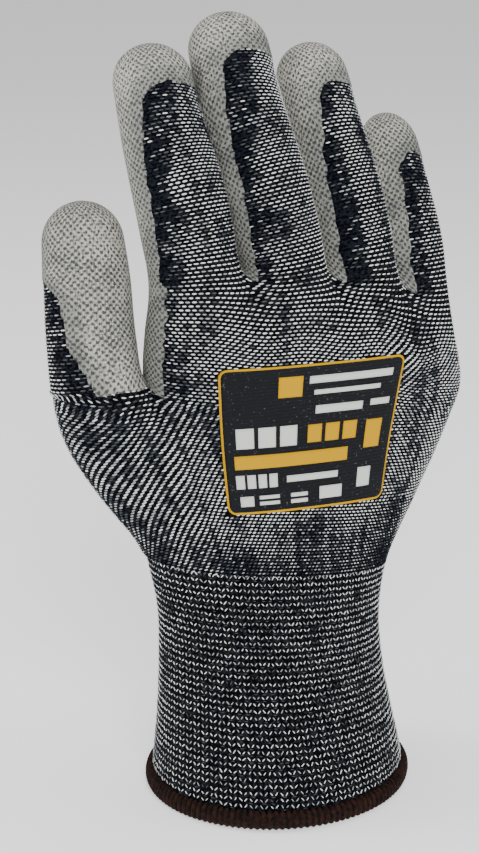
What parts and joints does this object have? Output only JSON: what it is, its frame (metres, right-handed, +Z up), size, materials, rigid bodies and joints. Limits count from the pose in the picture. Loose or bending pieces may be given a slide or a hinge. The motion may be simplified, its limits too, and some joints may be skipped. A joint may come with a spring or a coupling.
{
  "type": "cut resistant work glove",
  "caption": "Knitted cut resistant work glove with a dipped palm grip, hemmed cuff and printed back label, its fingers and thumb bending at the joints.",
  "frame": {"origin": "middle of the cuff mouth, on the plane that the cuff hem stands on", "axes": "+Z up the hand to the fingertips, the back of the hand faces -Y and the palm +Y, the thumb is on the -X side (right hand)"},
  "size_m": [0.1524, 0.0914, 0.2753],
  "materials": {
    "knit_yarn": "fine seamless knit of dark yarn plated with white yarn",
    "elastic_thread": "matt elastic thread laid in the cuff",
    "hem_thread": "dark brown overlock thread",
    "grip_coating": "thin matt foamed grip film, warm light grey",
    "print_film": "thin dark transfer print film",
    "print_yellow": "yellow print ink",
    "print_white": "white print ink"
  },
  "bodies": {
    "hand": {"cuff_hem": "hem_thread", "cuff_rib": "knit_yarn", "cuff_elastic": "elastic_thread", "hand_shell": "knit_yarn", "palm_coating": "grip_coating", "label_film_dark": "print_film", "label_edge_line": "print_yellow", "label_ink_white": "print_white", "label_ink_yellow": "print_yellow"},
    "index_root": {"index_root_liner": "knit_yarn", "index_root_coating": "grip_coating", "index_root_fold": "knit_yarn"},
    "index_middle": {"index_middle_liner": "knit_yarn", "index_middle_coating": "grip_coating", "index_middle_fold": "knit_yarn"},
    "index_tip": {"index_tip_liner": "knit_yarn", "index_tip_coating": "grip_coating", "index_tip_fold": "knit_yarn"},
    "middle_root": {"middle_root_liner": "knit_yarn", "middle_root_coating": "grip_coating", "middle_root_fold": "knit_yarn"},
    "middle_middle": {"middle_middle_liner": "knit_yarn", "middle_middle_coating": "grip_coating", "middle_middle_fold": "knit_yarn"},
    "middle_tip": {"middle_tip_liner": "knit_yarn", "middle_tip_coating": "grip_coating", "middle_tip_fold": "knit_yarn"},
    "ring_root": {"ring_root_liner": "knit_yarn", "ring_root_coating": "grip_coating", "ring_root_fold": "knit_yarn"},
    "ring_middle": {"ring_middle_liner": "knit_yarn", "ring_middle_coating": "grip_coating", "ring_middle_fold": "knit_yarn"},
    "ring_tip": {"ring_tip_liner": "knit_yarn", "ring_tip_coating": "grip_coating", "ring_tip_fold": "knit_yarn"},
    "little_root": {"little_root_liner": "knit_yarn", "little_root_coating": "grip_coating", "little_root_fold": "knit_yarn"},
    "little_middle": {"little_middle_liner": "knit_yarn", "little_middle_coating": "grip_coating", "little_middle_fold": "knit_yarn"},
    "little_tip": {"little_tip_liner": "knit_yarn", "little_tip_coating": "grip_coating", "little_tip_fold": "knit_yarn"},
    "thumb_root": {"thumb_root_liner": "knit_yarn", "thumb_root_coating": "grip_coating", "thumb_root_fold": "knit_yarn"},
    "thumb_tip": {"thumb_tip_liner": "knit_yarn", "thumb_tip_coating": "grip_coating", "thumb_tip_fold": "knit_yarn"}
  },
  "joints": [
    {"name": "index_root_bend", "type": "hinge", "parent": "hand", "child": "index_root", "pos_m": [-0.02948, 0.0128, 0.19299], "axis": [-0.9952, 0, -0.0976], "range_deg": [-12, 60], "deforming": ["index_root_fold"]},
    {"name": "index_middle_bend", "type": "hinge", "parent": "index_root", "child": "index_middle", "pos_m": [-0.03131, 0.01701, 0.21169], "axis": [-0.9952, 0, -0.0976], "range_deg": [-8, 60], "deforming": ["index_middle_fold"]},
    {"name": "index_tip_bend", "type": "hinge", "parent": "index_middle", "child": "index_tip", "pos_m": [-0.03391, 0.02627, 0.23379], "axis": [-0.9994, 0, 0.0349], "range_deg": [-4, 30], "deforming": ["index_tip_fold"]},
    {"name": "middle_root_bend", "type": "hinge", "parent": "hand", "child": "middle_root", "pos_m": [0.00328, 0.00967, 0.19028], "axis": [-0.989, 0, -0.1478], "range_deg": [-12, 60], "deforming": ["middle_root_fold"]},
    {"name": "middle_middle_bend", "type": "hinge", "parent": "middle_root", "child": "middle_middle", "pos_m": [-0.00038, 0.01513, 0.21472], "axis": [-0.989, 0, -0.1478], "range_deg": [-8, 60], "deforming": ["middle_middle_fold"]},
    {"name": "middle_tip_bend", "type": "hinge", "parent": "middle_middle", "child": "middle_tip", "pos_m": [-0.00465, 0.02595, 0.2392], "axis": [-0.9994, 0, 0.0349], "range_deg": [-4, 30], "deforming": ["middle_tip_fold"]},
    {"name": "ring_root_bend", "type": "hinge", "parent": "hand", "child": "ring_root", "pos_m": [0.03389, 0.01211, 0.18711], "axis": [-0.9925, 0, -0.1219], "range_deg": [-12, 60], "deforming": ["ring_root_fold"]},
    {"name": "ring_middle_bend", "type": "hinge", "parent": "ring_root", "child": "ring_middle", "pos_m": [0.03134, 0.01682, 0.20782], "axis": [-0.9925, 0, -0.1219], "range_deg": [-8, 60], "deforming": ["ring_middle_fold"]},
    {"name": "ring_tip_bend", "type": "hinge", "parent": "ring_middle", "child": "ring_tip", "pos_m": [0.02827, 0.02635, 0.22981], "axis": [-1, 0, 0], "range_deg": [-4, 30], "deforming": ["ring_tip_fold"]},
    {"name": "little_root_bend", "type": "hinge", "parent": "hand", "child": "little_root", "pos_m": [0.0606, 0.01644, 0.17779], "axis": [-0.9976, 0, -0.0698], "range_deg": [-12, 60], "deforming": ["little_root_fold"]},
    {"name": "little_middle_bend", "type": "hinge", "parent": "little_root", "child": "little_middle", "pos_m": [0.05958, 0.01974, 0.19247], "axis": [-0.9976, 0, -0.0698], "range_deg": [-8, 60], "deforming": ["little_middle_fold"]},
    {"name": "little_tip_bend", "type": "hinge", "parent": "little_middle", "child": "little_tip", "pos_m": [0.05823, 0.02649, 0.20834], "axis": [-0.9997, 0, 0.0262], "range_deg": [-4, 30], "deforming": ["little_tip_fold"]},
    {"name": "thumb_root_bend", "type": "hinge", "parent": "hand", "child": "thumb_root", "pos_m": [-0.06209, 0.0221, 0.15592], "axis": [-0.9998, 0, -0.0175], "range_deg": [-10, 40], "deforming": ["thumb_root_fold"]},
    {"name": "thumb_tip_bend", "type": "hinge", "parent": "thumb_root", "child": "thumb_tip", "pos_m": [-0.0625, 0.0259, 0.17524], "axis": [-0.9998, 0, 0.0175], "range_deg": [-8, 50], "deforming": ["thumb_tip_fold"]}
  ],
  "couplings": [
    {"joint": "index_tip_bend", "follows": "index_middle_bend", "ratio": 0.5},
    {"joint": "middle_tip_bend", "follows": "middle_middle_bend", "ratio": 0.5},
    {"joint": "ring_tip_bend", "follows": "ring_middle_bend", "ratio": 0.5},
    {"joint": "little_tip_bend", "follows": "little_middle_bend", "ratio": 0.5}
  ]
}
